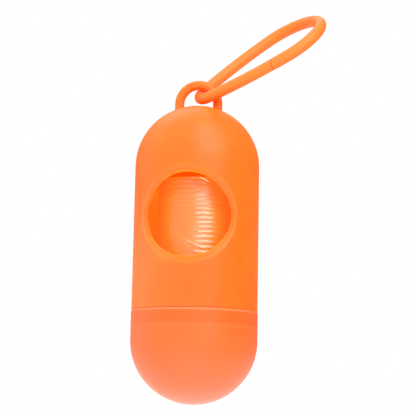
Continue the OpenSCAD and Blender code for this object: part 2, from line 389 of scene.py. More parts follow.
# Painted light: the shell is paler low on its left, as if lit from the lower left.
aside = fade(tree, axes["X"], 4 * MM, -17 * MM)
below = fade(tree, axes["Z"], -28 * MM, -50 * MM, 0.35)
tint(shell_satin, both(tree, aside, below), lower_left_light_tone)
across = node(tree, "ShaderNodeCombineXYZ", {"X": axes["X"], "Z": axes["Z"]}).outputs[0]
from_middle = node(
    tree, "ShaderNodeVectorMath", {0: across, 1: (0, 0, window_z * MM)}, operation="DISTANCE"
).outputs["Value"]
on_front = fade(tree, axes["Y"], -8 * MM, -12 * MM)
out_to_rim = fade(tree, from_middle, (bevel_rim + 0.2) * MM, (bevel_rim - 0.1) * MM)
in_from_rim = fade(tree, from_middle, (bevel_rim - 1.0) * MM, (bevel_rim - 0.5) * MM)
towards_top = fade(tree, axes["Z"], -58 * MM, -27 * MM, 0.7)
# Painted highlight along the bevel's crest, strongest towards the top.
crest_highlight = both(tree, both(tree, out_to_rim, in_from_rim), both(tree, on_front, towards_top))
tint(shell_satin, crest_highlight, crest_highlight_tone)
# Painted shade down the bevel's slope to the bore.
slope_shade = fade(tree, from_middle, (bevel_rim - 0.6) * MM, (window_r + 0.2) * MM, 0.8)
tint(shell_satin, both(tree, slope_shade, on_front), slope_shade_tone)
print("drifts of colour:", len([n for n in tree.nodes if n.type == "MIX"]))

# %% [markdown]
# The inner wall is painted paler where it faces the roll, as painted light that comes through the
# wall, and painted deep orange up in the dome, as painted shade. Light that has soaked through
# the wall would also reach the roll, but a path tracer that has scattered a ray once treats the
# wall as plain paint from then on. So the inner wall gives that light off by itself, and only to
# rays that have been scattered: it lights the roll, and no eye sees it glow.

# %% Inner wall
dome_shade_tone, soaked_light, soaked_strength = (1.0, 0.095, 0.004), (1.0, 1.0, 0.5, 1), 0.68
tree = shell_inside.node_tree
# Painted shade: the inner wall is deeper in colour up in the dome.
dome_shade = fade(tree, object_axes(tree)["Z"], -27.5 * MM, -24.5 * MM)
tint(shell_inside, dome_shade, dome_shade_tone)
scattered = node(tree, "ShaderNodeLightPath").outputs["Is Diffuse Ray"]
inside_shader = tree.nodes["Principled BSDF"]
soaked = blend_colours(tree, scattered, (0, 0, 0, 1), soaked_light)
tree.links.new(soaked, inside_shader.inputs["Emission Color"])
inside_shader.inputs["Emission Strength"].default_value = soaked_strength
print("inner wall gives off", soaked_strength)

# %% [markdown]
# The cap lets some light in, and its colour is painted with the light and shade that this makes.
# It is deepest in the band round the rim, as painted shade where the neck behind the rim blocks
# the light, with a thin painted light line under that band. The free edge of the rim is paler,
# as a painted highlight, and the pole is palest, as painted light from below. Colour against
# height is one curve, so it is written as one table and read by a colour ramp.

# %% Painted light and shade in the cap
cap_low, cap_high = -96.05, -67.05
pole_light_tone, milky_light_tone, wall_tone = (1.0, 0.20, 0.118), (1.0, 0.148, 0.060), (1.0, 0.106, 0.014)
light_line_tone, neck_shade_tone, rim_highlight_tone = (1.0, 0.122, 0.022), (1.0, 0.087, 0.004), (1.0, 0.165, 0.055)
# Painted light and shade by height: pale at the pole as light from below, deep in the band as shade
# of the neck behind the rim, a painted light line under it, and a painted highlight on the rim.
cap_colour_and_painted_light = [
    (cap_low, pole_light_tone),
    (-91.0, milky_light_tone),
    (-80.0, wall_tone),
    (-72.3, wall_tone),
    (-71.9, light_line_tone),
    (-71.5, neck_shade_tone),
    (-67.8, neck_shade_tone),
    (-67.55, rim_highlight_tone),
    (cap_high, rim_highlight_tone),
]
tree = cap_milky.node_tree
cap_base = tree.nodes["Principled BSDF"].inputs["Base Color"]
skin_colour = cap_base.links[0].from_socket
axes = object_axes(tree)
height = graded(tree, axes["Z"], cap_low * MM, cap_high * MM)
ramp = node(tree, "ShaderNodeValToRGB", {"Fac": height})
tones = ramp.color_ramp.elements
while len(tones) < len(cap_colour_and_painted_light):
    tones.new(1.0)
for tone, (z, colour) in zip(tones, cap_colour_and_painted_light):
    tone.position = (z - cap_low) / (cap_high - cap_low)
    tone.color = (*colour, 1)
print("tones of the cap:", len(cap_colour_and_painted_light))

# %% [markdown]
# Two masks come on top. The cap is painted paler at its left, as painted light from that side,
# and a deep patch is painted where the start of the neck's thread stands behind the cap, as its
# painted shade. The thread climbs as it turns, so a point is on it where its height less the
# climb is that of its start.

# %% Painted shade of the thread and painted light on the cap's left
thread_pitch, thread_start_z, thread_shade_tone = 2.8, -74.7, (1.0, 0.090, 0.004, 1)
angle = maths(tree, "ARCTAN2", axes["X"], maths(tree, "MULTIPLY", axes["Y"], -1.0))
climb = thread_pitch * MM / (2 * math.pi)
level = maths(tree, "MULTIPLY_ADD", angle, -climb, axes["Z"])
away = maths(tree, "ABSOLUTE", maths(tree, "SUBTRACT", level, thread_start_z * MM))
# Painted shade where the start of the neck's thread stands behind the cap.
groove = both(tree, fade(tree, angle, 0.5, 0.8), fade(tree, angle, 1.35, 1.0))
groove = both(tree, groove, fade(tree, away, 1.5 * MM, 0.4 * MM, 0.7))
# Painted light: the cap is paler towards its left.
left_light = fade(tree, axes["X"], -4 * MM, -17 * MM, 0.3)
cap_with_painted_light = blend_colours(tree, left_light, ramp.outputs["Color"], (*milky_light_tone, 1))
cap_with_painted_light = blend_colours(tree, groove, cap_with_painted_light, thread_shade_tone)
tree.links.new(blend_colours(tree, 0.15, cap_with_painted_light, skin_colour), cap_base)
print("groove climbs, mm a turn:", thread_pitch)

# %% [markdown]
# The bags are a thin film with a wet shine. Its ribs and folds are in the mesh. What is too
# fine for a mesh is the drawn look of blown film, short streaks that run round the roll, and
# they follow the unrolled surface, so this finish reads the UV map. The shine has two parts: a
# broad one from the crumpled film itself, and a sharp coat that draws a line on each rib.

# %% Bag film
bag_film, tree, film_shader = principled("bag_film")
unrolled = node(tree, "ShaderNodeUVMap", uv_map="unrolled").outputs["UV"]
drawn = node(tree, "ShaderNodeMapping", {"Vector": unrolled, "Scale": (0.10, 1.6, 1.0)})
streaks = noise(tree, drawn.outputs["Vector"], 1.0, 4.0)
dress(
    tree,
    film_shader,
    blend_colours(tree, streaks, (1.0, 0.132, 0.005, 1), (1.0, 0.162, 0.013, 1)),
    graded(tree, streaks, 0.3, 0.7, 0.32, 0.42),
    grained(tree, streaks, 0.35, 0.0001),
    IOR=1.6,
    Specular_IOR_Level=0.50,
    Coat_Weight=0.90,
    Coat_Roughness=0.14,
    **glow(0.6, 0.003),
)
print("film streaks run along the UV's first axis")

# %% [markdown]
# The core is a paper tube, wound from strips. Paper has no shine, and its fibres lie every way,
# which two noises of different size give: one for the fibres and one for the cloudy pulp.

# %% Core board
core_board, tree, board_shader = principled("core_board")
place = node(tree, "ShaderNodeTexCoord").outputs["Object"]
fibres = noise(tree, place, 2200.0, 5.0, 1.5)
pulp = noise(tree, place, 300.0, 2.0)
board_tone = blend_colours(tree, pulp, (0.46, 0.29, 0.16, 1), (0.60, 0.41, 0.25, 1))
dress(
    tree,
    board_shader,
    blend_colours(tree, fibres, board_tone, (0.72, 0.55, 0.38, 1)),
    graded(tree, pulp, 0.0, 1.0, 0.8, 0.95),
    grained(tree, fibres, 0.5, 0.0001),
)
print("core board is", core_board.name)

# %% [markdown]
# ## The shell
#
# The shell is a turned form, so its section is drawn once and swept round the axis: down the
# outside from the top of the dome to the seam, in to the neck, round its foot, and up the
# inside. Each corner is rounded by a short bend with a row close on both sides of it, which
# keeps the flat parts flat under a highlight.


# %% Section helpers
def bend(before, corner, after, steps=4):
    """Rows that round a corner: a curve that starts at before, is pulled towards the corner
    and ends at after. Works on points or on whole rows of points."""
    t = np.linspace(0, 1, steps + 1).reshape((-1,) + (1,) * np.ndim(corner))
    return (1 - t) ** 2 * before + 2 * t * (1 - t) * corner + t**2 * after


def between(start, end, steps, ends=True):
    """Rows spread evenly from start to end, with or without the two ends."""
    t = np.linspace(0, 1, steps + 1).reshape((-1,) + (1,) * np.ndim(start))
    rows = start + t * (np.asarray(end, dtype=float) - start)
    return rows if ends else rows[1:-1]


def rounded_section(corners, radii, support=0.12):
    """A section through corners (r, z): at each one that has a radius, the line stops short by
    it, bends, and goes on, with one more row a little before and after the bend."""
    corners = np.array(corners, dtype=float)
    rows = [corners[:1]]
    for a, b, c, radius in zip(corners, corners[1:], corners[2:], radii[1:-1]):
        if not radius:
            rows.append(b[None])
            continue
        back, on = (a - b) / np.linalg.norm(a - b), (c - b) / np.linalg.norm(c - b)
        before, after = b + back * (radius + support), b + on * (radius + support)
        rows += [before[None], bend(b + back * radius, b, b + on * radius), after[None]]
    return np.concatenate(rows + [corners[-1:]])


def turned(section, angles):
    """The section swept round the axis: at angle a from the front, a point (r, z) goes to
    (r sin a, -r cos a, z)."""
    r, z = section[:, 0, None], section[:, 1, None]
    return np.stack([r * np.sin(angles), -r * np.cos(angles), z + 0 * angles], axis=-1)


def round_axis(r, angle, z):
    """Points at a distance r from the axis, at an angle from x and at a height z."""
    return np.stack(np.broadcast_arrays(r * np.cos(angle), r * np.sin(angle), z), axis=-1)


def dome_arc(radius, centre_z, steps, up=1):
    """Quarter circle from the axis out to the widest point."""
    a = np.linspace(0, np.pi / 2, steps + 1)
    return np.column_stack([radius * np.sin(a), centre_z + up * radius * np.cos(a)])


# %% Shell sizes
dome_z, seam_z = -20.8, -66.9
dome_r, seam_r, wall = 19.8, 19.9, 2.0
bevel_depth, patch_half = 1.6, 16.9
column_angles = np.radians(np.arange(-180, 180, 2.0))
patch_angles = np.radians(np.arange(-54, 55, 2.0))
patch_rows = between(window_z + patch_half, window_z - patch_half, 24)


def outer_r(z):
    """Radius of the outside of the body, which widens evenly from the dome to the seam."""
    return dome_r + (seam_r - dome_r) * (dome_z - z) / (dome_z - seam_z)


def inner_r(z):
    """Radius of the inside of the body: the outside less the wall."""
    return outer_r(z) - wall


print("window patch is", len(patch_rows), "rows and", len(patch_angles), "columns")

# %% [markdown]
# The window is a round hole with a bevel, through a round wall. A boolean would cut it, but the
# thin faces it leaves spoil the shine just where the light is strongest. So a rectangle is left
# out of the swept rows, on the outside and on the inside, and one more grid fills it: its first
# row runs round the outer rectangle, the next ones close in on the bevel's edge, go down the
# bevel and through the wall, and open out again to the inner rectangle.

# %% Shell rows
body_foot = seam_z + 3.4
band_r, band_z = 18.15, seam_z - 4.5
spigot_r, neck_bore, neck_z = 17.25, 15.95, -75.7


def body_sheet(radius_at, dome, steps):
    """One side of the wall, from the dome's top to the body's foot, in two parts: the rows
    above the window's patch and the rows below it, each with the patch's own edge row."""
    z = np.concatenate([patch_rows, between(patch_rows[-1], body_foot, 7)[1:]])
    z = np.append(patch_rows[0] + 0.3, z)
    rows = np.concatenate([dome_arc(dome, dome_z, steps), np.column_stack([radius_at(z), z])])
    return rows[rows[:, 1] >= patch_rows[0] - 1e-6], rows[rows[:, 1] <= patch_rows[-1] + 1e-6]


seam_section = rounded_section(
    [
        (outer_r(body_foot), body_foot),
        (outer_r(seam_z + 1.2), seam_z + 1.2),
        (seam_r, seam_z),
        (band_r, seam_z),
        (band_r, band_z),
        (spigot_r, band_z),
        (spigot_r, neck_z),
        (neck_bore, neck_z),
        (neck_bore, seam_z),
        (inner_r(seam_z + 3.0), seam_z + 3.0),
        (inner_r(body_foot), body_foot),
    ],
    [0, 0, 0.18, 0.1, 0.25, 0.2, 0.3, 0.25, 0.4, 0, 0],
)
top_out, below_out = body_sheet(outer_r, dome_r, 30)
top_in, below_in = body_sheet(inner_r, dome_r - wall, 24)
foot_section = np.concatenate([below_out, seam_section[1:-1], below_in[::-1]])
patch_out = np.column_stack([outer_r(patch_rows), patch_rows])
patch_in = np.column_stack([inner_r(patch_rows), patch_rows])
side_angles = column_angles[np.abs(column_angles) >= patch_angles[-1] - 1e-6]
side_angles = np.sort(np.where(side_angles < 0, side_angles + 2 * np.pi, side_angles))
print("shell rows:", len(top_out), len(patch_rows), len(foot_section))


# %% Lines round the window
def rectangle_loop():
    """Angle and height of each grid point round the patch's edge, one way round."""
    a, z = patch_angles, patch_rows
    sides = [(a[:-1], z[0]), (a[-1], z[:-1]), (a[:0:-1], z[-1]), (a[0], z[:0:-1])]
    return np.concatenate([np.column_stack(np.broadcast_arrays(*side)) for side in sides])


loop = rectangle_loop()
loop_turn = np.arctan2(loop[:, 1] - window_z, loop[:, 0] * outer_r(window_z))


def on_wall(angle_and_z, radius_at):
    """Points on the round wall from their angle from the front and their height."""
    angle, z = angle_and_z[..., 0], angle_and_z[..., 1]
    r = radius_at(z)
    return np.stack([r * np.sin(angle), -r * np.cos(angle), z], axis=-1)


def window_edge(share, radius_at):
    """Angle and height of a line round the window: share 0 is the bore, 1 the bevel's outer
    edge. Across, the point is a share of the way from the bore's x to the rim's."""
    z = window_z + (window_r + share * bevel_w) * np.sin(loop_turn)
    r = radius_at(window_z)
    bore_x = window_r * np.cos(loop_turn)
    rim_angle = (math.asin(window_r / r) + bevel_w / r) * np.cos(loop_turn)
    x = bore_x + share * (r * np.sin(rim_angle) - bore_x)
    return np.column_stack([np.arcsin(x / r), z])


def bore_point(y_shift, radius_at):
    """Points on the bore's wall, pushed straight in from the round wall by y_shift."""
    x = window_r * np.cos(loop_turn)
    y = -np.sqrt(radius_at(window_z) ** 2 - x**2) + y_shift
    return np.column_stack([x, y, window_z + window_r * np.sin(loop_turn)])


# %% Window passage
rim_edge = on_wall(window_edge(1.0, outer_r), outer_r)
rim_before = on_wall(window_edge(1.18, outer_r), outer_r)
bevel_foot = bore_point(bevel_depth, outer_r)
slope_top = rim_edge + 0.16 * (bevel_foot - rim_edge)
slope_foot = rim_edge + 0.88 * (bevel_foot - rim_edge)
bore_mid = bore_point(bevel_depth + 0.22, outer_r)
inner_edge = bore_point(0.0, inner_r)
inner_after = on_wall(window_edge(0.12, inner_r), inner_r)
outside_rows = on_wall(between(loop, window_edge(1.26, outer_r), 8), outer_r)
inside_rows = on_wall(between(window_edge(0.2, inner_r), loop, 8), inner_r)
passage = np.concatenate(
    [
        outside_rows,
        bend(rim_before, rim_edge, slope_top, 5),
        between(slope_top, slope_foot, 4, ends=False),
        bend(slope_foot, bevel_foot, bore_mid, 5),
        bend(bore_mid, inner_edge, inner_after, 4)[1:],
        inside_rows,
    ]
)
print("window passage:", passage.shape[0], "rows of", passage.shape[1])

# %% [markdown]
# The grids meet along shared points, so once those are merged the shell is one closed skin.
# Its outside, its inside and the neck all belong to it.

# %% Shell
full_turn = np.append(column_angles, column_angles[:1])
shell_grids = [turned(rows, full_turn) for rows in (top_out, top_in, foot_section)]
shell_grids += [turned(rows, side_angles) for rows in (patch_out, patch_in)]
shell_grids.append(np.concatenate([passage, passage[:, :1]], axis=1))
shell = make_piece("shell", shell_grids, shell_satin, "shell", closed=False)
middles = np.empty(len(shell.data.polygons) * 3)
shell.data.polygons.foreach_get("center", middles)
middles = middles.reshape(-1, 3) / MM
above = np.maximum(middles[:, 2] - dome_z, 0)
from_axis = np.hypot(np.hypot(middles[:, 0], middles[:, 1]), above)
is_inside = (from_axis < dome_r - wall + 0.3) & (middles[:, 2] > seam_z + 3)
shell.data.materials.append(shell_inside)
shell.data.polygons.foreach_set("material_index", is_inside.astype(np.int32))
print("faces on the inside:", int(is_inside.sum()))

# %% [markdown]
# ## The bail and the thread
#
# The bail is a bent rod that grows out of the dome. A torus would meet the dome in a hard line;
# a moulding has a small fillet there. So the rod is carried along its path as rings, and the
# rings at each foot spread out along a quarter circle until they lie on the dome. The thread is
# one low ridge round the neck, which rises and dies away at its ends.


# %% Bail
def dome_height(x, y):
    """Height of the dome's outside above the point (x, y)."""
    return dome_z + np.sqrt(dome_r**2 - x**2 - y**2)


bail_r, wire_r, fillet = 6.2, 1.5, 0.55
ring_turn = np.linspace(0, 2 * np.pi, 40, endpoint=False)


def bail_foot(side):
    """Rings of one foot, from the dome up: their radius shrinks from wire and fillet to the
    wire alone as their height over the dome grows by the fillet."""
    a = np.linspace(0, np.pi / 2, 7)[:, None]
    reach = wire_r + fillet * (1 - np.sin(a))
    x = side * (bail_r + reach * np.cos(ring_turn))
    y = reach * np.sin(ring_turn)
    return np.stack([x, y, dome_height(x, y) - 0.02 + fillet * (1 - np.cos(a))], axis=-1)


def bail_rings(angles):
    """Rings round the arc: each is a circle across the wire, its first axis pointing outwards."""
    a = angles[:, None]
    reach = bail_r + wire_r * np.cos(ring_turn)
    y = wire_r * np.sin(ring_turn) + 0 * a
    return np.stack([reach * np.cos(a), y, reach * np.sin(a)], axis=-1)


def with_ends(rings, drop=0.0):
    """Rings with a point added at each end, which closes the skin there: the middle of the
    end ring, moved down by drop."""
    ends = rings[[0, -1]].mean(axis=1, keepdims=True) - [0, 0, drop]
    ends = np.repeat(ends, rings.shape[1], axis=1)
    return np.concatenate([ends[:1], rings, ends[1:]])


arch = bail_rings(np.linspace(0, np.pi, 49))
bail_skin = with_ends(np.concatenate([bail_foot(1), arch, bail_foot(-1)[::-1]]), drop=0.6)
make_piece("bail", [bail_skin], bail_satin, "shell")

# %% Thread ridge
ridge_start, ridge_turn, ridge_height = math.radians(306), math.radians(324), 0.8
ridge_foot, ridge_rise = -74.8, thread_pitch * 0.9
along = np.linspace(0, 1, 151)[:, None]
height = ridge_height * np.clip(np.minimum(along, 1 - along) / 0.10, 0.02, 1) ** 0.6
ridge_half = np.array([(-0.4, 0.70), (0.0, 0.56), (0.86, 0.36), (1.0, 0.24)])
out, up = np.concatenate([ridge_half * [1, -1], ridge_half[::-1]]).T
ridge_r = spigot_r + np.where(out > 0, out * height, out)
angle = ridge_start + ridge_turn * along
ridge_z = ridge_foot + ridge_rise * along + up
ridge_skin = with_ends(round_axis(ridge_r, angle, ridge_z))
make_piece("neck_thread", [ridge_skin], shell_satin, "shell", sharp=50)
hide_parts("upper_shell")

# %% [markdown]
# ## The cap
#
# The cap is turned too. Its rim is a narrow flat with rounded edges: the rounding catches a
# thin bright line just below the dark gap at the seam, which a painted highlight on the rim makes
# brighter, and that line is what makes the seam read as two parts that meet.

# %% Cap
cap_r, cap_bore, cap_top, cap_dome_z = 20.0, 18.4, -67.02, -76.05
side_z = cap_dome_z + np.linspace(0, 6.0, 6)[1:]
rim_section = rounded_section(
    [(cap_r, side_z[-1]), (cap_r, cap_top), (cap_bore, cap_top), (cap_bore, side_z[-1])],
    [0, 0.24, 0.25, 0],
)


def cap_wall(radius, steps):
    """One side of the cap's wall, from the pole out and up to the foot of the rim."""
    side = np.column_stack([np.full(4, radius), side_z[:-1]])
    return np.concatenate([dome_arc(radius, cap_dome_z, steps, up=-1), side])


cap_section = np.concatenate([cap_wall(cap_r, 34), rim_section, cap_wall(cap_bore, 28)[::-1]])
cap = make_piece("screw_cap", [turned(cap_section, column_angles)], cap_milky, "cap")
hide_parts("screw_cap")

# %% [markdown]
# ## The strap
#
# The strap is a pear-shaped loop of round cord: a small bend in the bail, a large bend at the
# far end, and two long shallow curves between them. It is worked out flat, as arcs, and then
# laid in place by one rotation. Rings of points are carried along the arcs. The loop is three
# pieces and a plug, because it opens at the plug and bends on the other side: the tight end and
# the wide end are rigid, each on its own body, and a short stretch between them is left where it
# lies, on no body.


# %% Loop of arcs
def on_circle(centre, radius, a):
    """Stations at angles a round a circle: middle x, middle y and facing angle."""
    return np.column_stack([centre[0] + radius * np.cos(a), centre[1] + radius * np.sin(a), a])


cord_r, loop_length = 1.8, 45.5
tight_r, wide_r, side_r = 5.0, 13.8, 87.0
wide_x = loop_length - wide_r
centre_gap = wide_x - tight_r
side_dx = ((side_r - tight_r) ** 2 - (side_r - wide_r) ** 2 + centre_gap**2) / (2 * centre_gap)
side_x, side_y = tight_r + side_dx, -math.sqrt((side_r - tight_r) ** 2 - side_dx**2)
tight_turn = math.atan2(-side_y, tight_r - side_x)
wide_turn = math.atan2(-side_y, wide_x - side_x)
flex_lead = math.radians(3.3)
flex_turn = flex_lead - wide_turn
flex = on_circle((wide_x, 0), wide_r, flex_turn)[0, :2]
closure_turn = math.atan2(flex[1] - side_y, flex[0] - side_x)
at_closure = on_circle((side_x, side_y), side_r, closure_turn)
closure = at_closure[0, :2]
flex_reach = float(np.linalg.norm(closure - flex))
print("flex point", flex.round(2), "closure", closure.round(2), "reach", round(flex_reach, 2))

# %% Cord along the arcs
strap_lie = turn_about(1, -33.5) @ turn_about(2, 3) @ turn_about(0, 211)
strap_seat = np.array([0.5, 0.0, 1.95])


def laid(points):
    """Points of the flat loop, laid in place in the bail."""
    return points @ strap_lie.T + strap_seat


def arc(centre, radius, start, end, spacing=0.55):
    """Stations along an arc, about a spacing apart."""
    steps = max(2, round(abs(end - start) * radius / spacing))
    return on_circle(centre, radius, np.linspace(start, end, steps + 1))


def joined(*arcs):
    """Stations of several arcs in a row, with each shared end kept once."""
    return np.concatenate([arcs[0]] + [a[1:] for a in arcs[1:]])


cord_turn = np.linspace(0, 2 * np.pi, 32, endpoint=False)


def cord_rings(stations, radius, slide=0.0):
    """Rings across the cord: from each station, out by the radius times the cosine of the turn
    along its facing, up by the radius times the sine, and along the cord by slide."""
    radius = np.asarray(radius, dtype=float)
    if radius.ndim < 2:
        radius = np.broadcast_to(radius, (len(stations),))[:, None]
    x, y, a = stations.T[..., None]
    out = radius * np.cos(cord_turn)
    x = x + out * np.cos(a) + slide * np.sin(a)
    y = y + out * np.sin(a) - slide * np.cos(a)
    return np.stack([x, y, radius * np.sin(cord_turn) + 0 * a], axis=-1)


# %% [markdown]
# At the closure the wide end has a rounded nose, like a roller laid across the cord, and the
# tight end is hollowed to match. Seen from the side that makes a seam shaped like a bracket.
# A plug stands in the hollow and goes into a bore in the nose. Both follow a circle round the
# point where the loop bends, so that the plug slides out cleanly.

# %% Strap ends
flex_run = 7.0
before_flex = -wide_turn - (flex_run - flex_lead * wide_r) / side_r
after_flex = flex_turn + flex_run / wide_r
nose_r, seam_gap, socket_r, wide_cord_r, tip_r = 2.0, 0.13, 0.98, 1.86, 0.01
lip = 0.11 + 0.34 * np.clip(-np.cos(cord_turn), 0, 1) ** 8
# tip_r is the radius of the tiny ring in which a piece's end runs out.


def roller_ring(ring_r, roller, push=0.0):
    """A ring at the closure, on the surface of a roller that lies across the cord: a point at
    height h is slid by nose_r less the root of the roller's radius squared less h squared."""
    curve = nose_r - np.sqrt(roller**2 - (ring_r * np.sin(cord_turn)) ** 2) + push
    return cord_rings(at_closure, ring_r[None], curve[None])


def closure_rows(radius, roller, start, sign):
    """Rings from the closure's edge into the cord: the first follow the roller with a small
    rounded lip, and the last is square to the cord at a distance start. The lip is widest on
    the loop's inner side, where it makes a notch for a thumbnail."""
    lip_steps = [(1.0, 0.0), (0.45, 0.25), (0.08, 0.8), (0.0, 1.3), (0.0, 2.5)]
    rows = [roller_ring(radius - k * lip, roller, sign * push * lip) for k, push in lip_steps]
    rows += list(between(rows[-1], cord_rings(at_closure, radius, start), 3)[1:])
    return np.concatenate(rows)


def end_disc(radius, inner, roller, steps):
    """Rings that close an end over the roller's surface, from the edge in to a radius."""
    shares = np.linspace(0, 1, steps + 1)[1:]
    return np.concatenate([roller_ring(radius + k * (inner - radius), roller) for k in shares])


def flex_stations(slides):
    """Stations on the circle round the flex point, at distances along it from the closure
    towards the wide end."""
    return on_circle(flex, flex_reach, closure_turn - np.array(slides) / flex_reach)


def strap_piece(name, rings, body):
    """A piece of the strap from rings of the flat loop, laid in place."""
    return make_piece(name, [laid(np.concatenate(rings))], strap_rubber, body)


# %% Tight end
tight_path = joined(
    arc((side_x, side_y), side_r, closure_turn + 1.2 / side_r, tight_turn),
    arc((tight_r, 0), tight_r, tight_turn, 2 * np.pi - tight_turn, 0.4),
    arc((side_x, -side_y), side_r, 2 * np.pi - tight_turn, 2 * np.pi + before_flex),
)
tight_lip = closure_rows(cord_r, nose_r + seam_gap, -1.2, -1)
tight_disc = end_disc(cord_r - lip, 0.02, nose_r + seam_gap, 5)
tight_rings = cord_rings(tight_path[1:], cord_r)
tight_stop = cord_rings(tight_path[-1:], tip_r)
tight_end = strap_piece(
    "strap_tight_end", [tight_disc[::-1], tight_lip, tight_rings, tight_stop], "strap"
)

# %% Plug
plug_slides = [-1.6, -1.58, -1.2, 0, 1.2, 2.4, 3.4, 4.1, 4.4, 4.75, 5.0, 5.35, 5.62, 5.8, 5.86]
plug_radii = [tip_r, 0.82] + [0.85] * 6 + [0.87, 0.90, 0.90, 0.84, 0.66, 0.36, tip_r]
strap_piece("strap_plug", [cord_rings(flex_stations(plug_slides), plug_radii)], "strap")

# %% Wide end
wide_path = joined(
    arc((wide_x, 0), wide_r, after_flex, wide_turn, 0.45),
    arc((side_x, side_y), side_r, wide_turn, closure_turn - 1.6 / side_r),
)
wide_lip = closure_rows(wide_cord_r, nose_r, 1.6, 1)
wide_disc = end_disc(wide_cord_r - lip, socket_r + 0.06, nose_r, 3)
bore_stations = flex_stations(np.linspace(0.12, 6.9, 7))
socket_bore = cord_rings(bore_stations, [socket_r] * 6 + [tip_r])
wide_rings = cord_rings(wide_path[:-1], wide_cord_r)
wide_stop = cord_rings(wide_path[:1], tip_r)
wide_end = strap_piece(
    "strap_wide_end", [wide_stop, wide_rings, wide_lip[::-1], wide_disc, socket_bore], "strap_end"
)

# %% Bending stretch
bend_path = joined(
    arc((side_x, -side_y), side_r, 2 * np.pi + before_flex, 2 * np.pi - wide_turn, 0.4),
    arc((wide_x, 0), wide_r, 2 * np.pi - wide_turn, 2 * np.pi + after_flex, 0.4),
)
share = np.linspace(0, 1, len(bend_path))
bend_radii = cord_r + (wide_cord_r - cord_r) * share**2 * (3 - 2 * share)
# Only the stretch's first end has a tip. Its other end lies open against the wide end.
bend_stop = cord_rings(bend_path[:1], tip_r)
strap_bend = strap_piece("strap_bend", [bend_stop, cord_rings(bend_path, bend_radii)], None)
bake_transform(strap_bend)
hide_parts("strap_plug_half")
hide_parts("strap_socket_half")

# %% [markdown]
# ## The roll of bags
#
# Film that is wound tight round a core gathers into narrow ribs that run round the roll. Where
# a fold lies under the outermost turn, the ribs fade, and a crease crosses them at a slant. All
# of that is height on the unrolled surface: one coordinate runs round the roll and the other
# along it, and every rib, crease and torn edge adds its own small amount.

# %% Roll surface
roll_foot, roll_top, roll_r, hole_r = -88.97, -25.97, 12.8, 6.93
around = np.radians(
    np.concatenate(
        [np.linspace(0, 210, 57)[:-1], np.linspace(210, 340, 109)[:-1], np.linspace(340, 360, 7)]
    )
)
up_roll = np.concatenate([np.linspace(roll_foot, -53, 118)[:-1], np.linspace(-53, roll_top, 271)])
turn, z = np.meshgrid(around, up_roll)
rng = np.random.default_rng(7)


def slow_noise(turn, z, waves, around_most, along_most):
    """A sum of sine waves of random slope and phase, whole waves round the roll, so that it
    closes on itself. It runs from about -1 to 1."""
    total = np.zeros_like(turn)
    for _ in range(waves):
        k, m = rng.integers(1, around_most + 1), rng.uniform(0.2, along_most)
        total += np.sin(k * turn + m * z * rng.choice([-1, 1]) + rng.uniform(0, 2 * np.pi))
    return total / math.sqrt(waves)


side, level = (turn - np.radians(270)) * roll_r, z - window_z


def crease(start, end, width, height, bow=0.0):
    """A ridge along the line between two points, each given as an angle from the front in
    degrees and a height over the window's middle. The line may bow sideways. The ridge falls
    off as a bell curve away from the line, and dies away towards its ends."""
    a = np.array([math.radians(start[0]) * roll_r, start[1]])
    b = np.array([math.radians(end[0]) * roll_r, end[1]])
    length = np.linalg.norm(b - a)
    run = (b - a) / length
    t = (side - a[0]) * run[0] + (level - a[1]) * run[1]
    off = (level - a[1]) * run[0] - (side - a[0]) * run[1]
    along = np.clip(t / length, 0, 1)
    gap = np.hypot(off - 4 * bow * along * (1 - along), t - along * length)
    return height * np.exp(-((gap / width) ** 2)) * np.sin(np.pi * (0.12 + 0.76 * along))


# %% Ribs and folds
rib_pitch, rib_width, rib_height = 1.5, 0.26, 0.17
rib_drift = 0.16 * slow_noise(turn, z, 6, 3, 0.25) + 0.05 * slow_noise(turn, z, 8, 30, 1.2)
rib_place = (z / rib_pitch + rib_drift + 0.5) % 1.0 - 0.5
rib_wave = np.exp(-((rib_place / rib_width) ** 2)) - 0.45
bright_side = 1 / (1 + np.exp(-(side - 0.6) / 0.5)) / (1 + np.exp((side - 9.5) / 0.8))
rib_patches = np.clip(0.8 + 0.45 * slow_noise(turn, z, 8, 5, 0.5), 0.3, 1.2)
rib_strength = 0.36 + 0.75 * bright_side * rib_patches
rib_strength *= 1 - 0.75 * bright_side / (1 + np.exp((6.6 - level) / 0.5))
smooth_patch = np.exp(-(((side + 2.8) / 3.6) ** 4) - (((level + 1.4) / 4.6) ** 4))
flat_sides = np.exp(-((np.maximum(np.abs(side - 1.5) - 9.0, 0) / 2.0) ** 2))
ribs = rib_height * rib_wave * rib_strength * (1 - 0.85 * smooth_patch) * (0.25 + 0.75 * flat_sides)
folds = (
    crease((-34, -4.7), (27, -10.7), 0.20, 0.22)
    + crease((-17, -7.4), (16, -11.8), 0.16, 0.12)
    + crease((9.7, -3.4), (20, -6.3), 0.22, 0.14, bow=-0.3)
    + crease((-20.9, 0.7), (-34, -4.8), 0.25, 0.12, bow=-0.3)
    + crease((15, 11.2), (27, 10.0), 0.14, 0.12)
)
print("ribs reach", round(float(np.abs(ribs).max()), 3), "mm")

# %% Roll ends and skin
edge_angle = np.radians(18) + 0.010 * np.abs((z / 0.8) % 2 - 1)
tail_angle = np.radians(336)
covered = np.clip((turn - edge_angle) / 0.012, 0, 1) * np.clip((tail_angle - turn) / 0.30, 0, 1)
surface_r = roll_r - 0.42 + 0.2 * covered + ribs + folds + 0.03 * slow_noise(turn, z, 5, 4, 0.3)
surface_r = np.minimum(surface_r, roll_r)
skin_rows = round_axis(surface_r, turn, z)
turn_gap = 0.45


